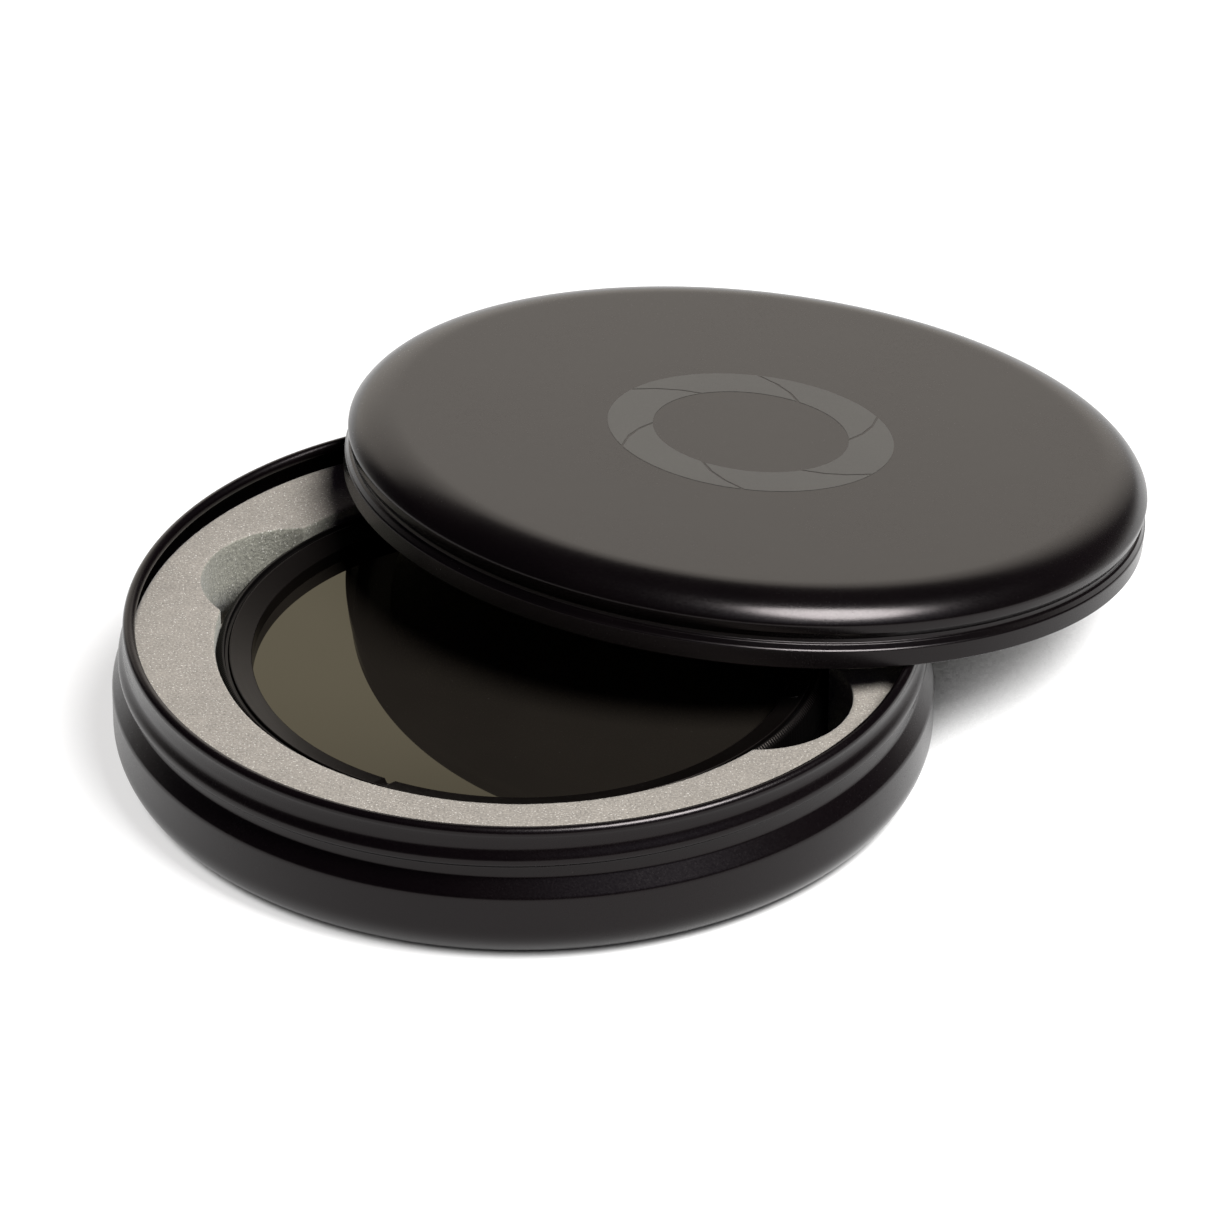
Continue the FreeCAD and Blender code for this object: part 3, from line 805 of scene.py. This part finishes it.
def make_bezel():
    """The retaining ring round the glass: a sloping face with two spanner slots and ticks."""
    bottom = low("front_retaining_ring", 2)
    top = high("front_retaining_ring", 2)
    phi = angles(BEZEL_SEGMENTS)
    outline = rounded([
        (BEZEL_INNER, bottom), (BEZEL_OUTER, bottom, 0.1), (BEZEL_OUTER, top, 0.14),
        (BEZEL_INNER, BEZEL_INNER_TOP, 0.14), (BEZEL_INNER, bottom + 0.01)], steps=4)
    first_slot, second_slot = np.radians(SPANNER_SLOTS)
    slot_at = np.minimum(np.abs((phi - first_slot) * BEZEL_INNER),
                         np.abs((phi - second_slot) * BEZEL_INNER))
    slot_cut = 1 - smooth_step(slot_at, *SPANNER_SLOT_HALF)
    rows = []
    for r, z in outline:
        if z > SPANNER_SLOT_FLOOR and r < SPANNER_SLOT_REACH:
            rows.append((r, z - slot_cut * (z - SPANNER_SLOT_FLOOR)))
        else:
            rows.append((r, z))
    bezel = turned("filter_bezel", rows, BEZEL_SEGMENTS, ring=True)
    dress(bezel, "filter_front", "ring_metal", BEZEL_BLACK, "front_retaining_ring")
    make_ticks((top - BEZEL_INNER_TOP) / (BEZEL_OUTER - BEZEL_INNER))


def make_ticks(slope):
    """Plain index ticks printed on the bezel's sloping face."""
    points = []
    faces = []
    for i in range(TICKS):
        middle = math.radians(TICK_START + i * TICK_PITCH)
        reach = TICK_SHORT if i % TICK_LONG_EVERY else TICK_LONG
        first = len(points)
        for r in (TICK_INNER, TICK_INNER + reach):
            z = BEZEL_INNER_TOP + (r - BEZEL_INNER) * slope + TICK_LIFT
            for side in (-1, 1):
                a = middle + side * TICK_HALF_WIDTH / r
                points.append((r * math.cos(a) * MM, r * math.sin(a) * MM, z * MM))
        faces.append((first, first + 2, first + 3, first + 1))
    ticks = new_object("filter_bezel_ticks", points, faces)
    thicken(ticks, TICK_DEPTH)
    dress(ticks, "filter_front", "white_plastic", TICK_INK)


def make_rear_ring():
    """The fixed ring: lens thread below, flange, and the hub that the front ring turns on."""
    bottom = low("rear_ring", 2)
    hub_top = high("rear_ring", 2)
    outline = [(APERTURE, bottom + 0.15), (APERTURE + 0.15, bottom), (THREAD_NOSE, bottom),
               (THREAD_NECK, bottom + 0.2)]
    for i in range(THREAD_TURNS):
        base = bottom + 0.3 + i * THREAD_PITCH
        outline += [(THREAD_CREST, base), (THREAD_CREST, base + 0.06),
                    (THREAD_ROOT, base + 0.24), (THREAD_ROOT, base + 0.30)]
    outline += rounded([
        (THREAD_NECK, FLANGE_LOW - 0.1), (THREAD_NECK, FLANGE_LOW, 0.08),
        (RING, FLANGE_LOW, 0.15),
        (RING, FLANGE_TOP, 0.15), (BEZEL_OUTER, FLANGE_TOP, 0.1),
        (BEZEL_OUTER, hub_top, 0.12), (REAR_POCKET, hub_top, 0.1), (REAR_POCKET, REAR_STEP),
        (APERTURE, REAR_STEP)], steps=4)[1:]
    ring = turned("filter_rear_ring", outline, REAR_SEGMENTS, ring=True)
    dress(ring, "filter_rear", "ring_metal", RING_BLACK, "rear_ring")


make_base()
make_foam()
make_lid()
make_front_ring()
make_seat_ring()
make_bezel()
make_rear_ring()

for end in ("front", "rear"):
    redress(end + "_outer_glass", GLASS)
    redress(end + "_inner_glass", INNER_GLASS)
    redress(end + "_polariser_film", FILM)
    redress(end + "_glass_spacer", BLACK_PLASTIC)
redress("rear_retaining_ring", BEZEL_BLACK)
redress("snap_ring", SPRING)
redress("drag_washer", WHITE_PLASTIC)
redress("stop_pin", PIN)

# ------------------------------------------------------------------ floor, light, camera

KEY_DIRECTION = Vector((0.42, -0.29, 0.86)).normalized()
KEY_DISTANCE = 1.4
KEY_SIZE = 0.78
KEY_POWER = 60.0
FLOOR_HALF = 3.0
# the floor's painted light, a glow of its own, and the shares of open sky between which it fades
# in, which leaves painted shade close to the tin
FLOOR_GLOW = 0.70
FLOOR_SHADE = (0.12, 0.34)
FLOOR_REACH = 0.05
# Light arrives from a white window behind the object, a band along the horizon, and a faint
# glow round the key light. Each direction is followed by how far along it the edge fades.
WINDOW_SIDE = (-0.122, 0.993, 0.0)
WINDOW_SIDE_EDGE = (0.78, 0.94)
WINDOW_TOP = (0.0, -0.35, 0.937)
WINDOW_TOP_EDGE = (0.197, 0.245)
HORIZON_EDGE = (0.04, 0.16)
HORIZON_SHARE = 0.3
GLOW_MIDDLE = (0.45, -0.52, 0.726)
GLOW_EDGE = (0.82, 0.99)
DARK_ROOM = (0.018, 0.012, 0.024)
WHITE_ROOM = (1.40, 1.31, 1.19)
GLOW = (0.15, 0.16, 0.25)
CAMERA_TILT = math.radians(31.4605)
CAMERA_ROLL = math.radians(0.1396)
CAMERA_DISTANCE = 1.096943
CAMERA_ASIDE = 0.011181
CAMERA_RISE = 0.017427
CAMERA_LENS = 241.77


def make_floor():
    """A plain white table with painted light on it. Close to the tin, where less sky is seen, its
    glow fades out, which paints shade round the tin.
    """
    floor = new_object("floor", [
        (-FLOOR_HALF, -FLOOR_HALF, 0), (FLOOR_HALF, -FLOOR_HALF, 0),
        (FLOOR_HALF, FLOOR_HALF, 0), (-FLOOR_HALF, FLOOR_HALF, 0)], [(0, 1, 2, 3)])
    material, tree = new_tree("floor_paper_with_painted_light")
    at = object_place(tree)
    fibre = grain(tree, at, 900.0, 3.0)
    tone = blend(tree, fibre, colour(0.26, 0.26, 0.258), colour(0.28, 0.28, 0.278))
    paper = add(tree, "BsdfDiffuse", {"Color": tone}).outputs[0]
    # painted light: the floor glows where it sees open sky, and the fade paints shade close to the
    # tin
    open_air = add(tree, "AmbientOcclusion", {"Distance": FLOOR_REACH},
                   samples=16).outputs["AO"]
    painted_floor_light = add(tree, "Emission", {"Color": colour(1.0, 0.992, 0.985), "Strength": spread(
        tree, open_air, *FLOOR_SHADE, 0.0, FLOOR_GLOW)}).outputs[0]
    close(material, tree, add(tree, "AddShader", {0: paper, 1: painted_floor_light}).outputs[0])
    floor.data.materials.append(material)


def make_world():
    """A studio with a white far side. The camera's side is dark above the horizon."""
    world = bpy.data.worlds.new("studio")
    world.use_nodes = True
    tree = world.node_tree
    tree.nodes.clear()
    toward = add(tree, "TexCoord").outputs["Generated"]
    parts = add(tree, "SeparateXYZ", {0: toward})
    level = add(tree, "CombineXYZ", {0: parts.outputs[0], 1: parts.outputs[1], 2: 0.0}).outputs[0]
    level = add(tree, "VectorMath", {0: level}, operation="NORMALIZE").outputs[0]
    window = calc(tree, "MULTIPLY", spread(tree, share_along(tree, level, WINDOW_SIDE),
                                          *WINDOW_SIDE_EDGE),
                  spread(tree, share_along(tree, toward, WINDOW_TOP),
                         *WINDOW_TOP_EDGE, 1.0, 0.0))
    horizon = spread(tree, parts.outputs[2], *HORIZON_EDGE, HORIZON_SHARE, 0.0)
    share = calc(tree, "MAXIMUM", window, horizon)
    tone = blend(tree, share, colour(*DARK_ROOM), colour(*WHITE_ROOM))
    glow = spread(tree, share_along(tree, toward, GLOW_MIDDLE), *GLOW_EDGE)
    tone = add(tree, "Mix", {0: glow, 6: tone, 7: colour(*GLOW)},
               data_type="RGBA", blend_type="ADD").outputs[2]
    sky = add(tree, "Background", {"Color": tone, "Strength": 1.0})
    add(tree, "OutputWorld", {"Surface": sky.outputs[0]})
    bpy.context.scene.world = world


def make_key():
    """One round softbox, above and to the right."""
    lamp = bpy.data.lights.new("key_softbox", "AREA")
    lamp.shape = "DISK"
    lamp.size = KEY_SIZE
    lamp.energy = KEY_POWER
    box = bpy.data.objects.new("key_softbox", lamp)
    bpy.context.scene.collection.objects.link(box)
    box.location = KEY_DIRECTION * KEY_DISTANCE
    box.rotation_euler = KEY_DIRECTION.to_track_quat("Z", "Y").to_euler()


def make_camera():
    """A long lens, 31.5 degrees above the table, in front of the tin."""
    ahead = Vector((0, math.cos(CAMERA_TILT), -math.sin(CAMERA_TILT)))
    right = Vector((1, 0, 0))
    up = right.cross(ahead)
    place = -ahead * CAMERA_DISTANCE + right * CAMERA_ASIDE + up * CAMERA_RISE
    side = right * math.cos(CAMERA_ROLL) + up * math.sin(CAMERA_ROLL)
    rise = up * math.cos(CAMERA_ROLL) - right * math.sin(CAMERA_ROLL)
    data = bpy.data.cameras.new("camera")
    data.lens = CAMERA_LENS
    data.sensor_width = 36.0
    data.clip_end = 20.0
    camera = bpy.data.objects.new("camera", data)
    bpy.context.scene.collection.objects.link(camera)
    camera.matrix_world = Matrix((
        (side.x, rise.x, -ahead.x, place.x),
        (side.y, rise.y, -ahead.y, place.y),
        (side.z, rise.z, -ahead.z, place.z),
        (0, 0, 0, 1)))
    bpy.context.scene.camera = camera


make_floor()
make_world()
make_key()
make_camera()
bpy.context.scene.view_settings.view_transform = "Standard"
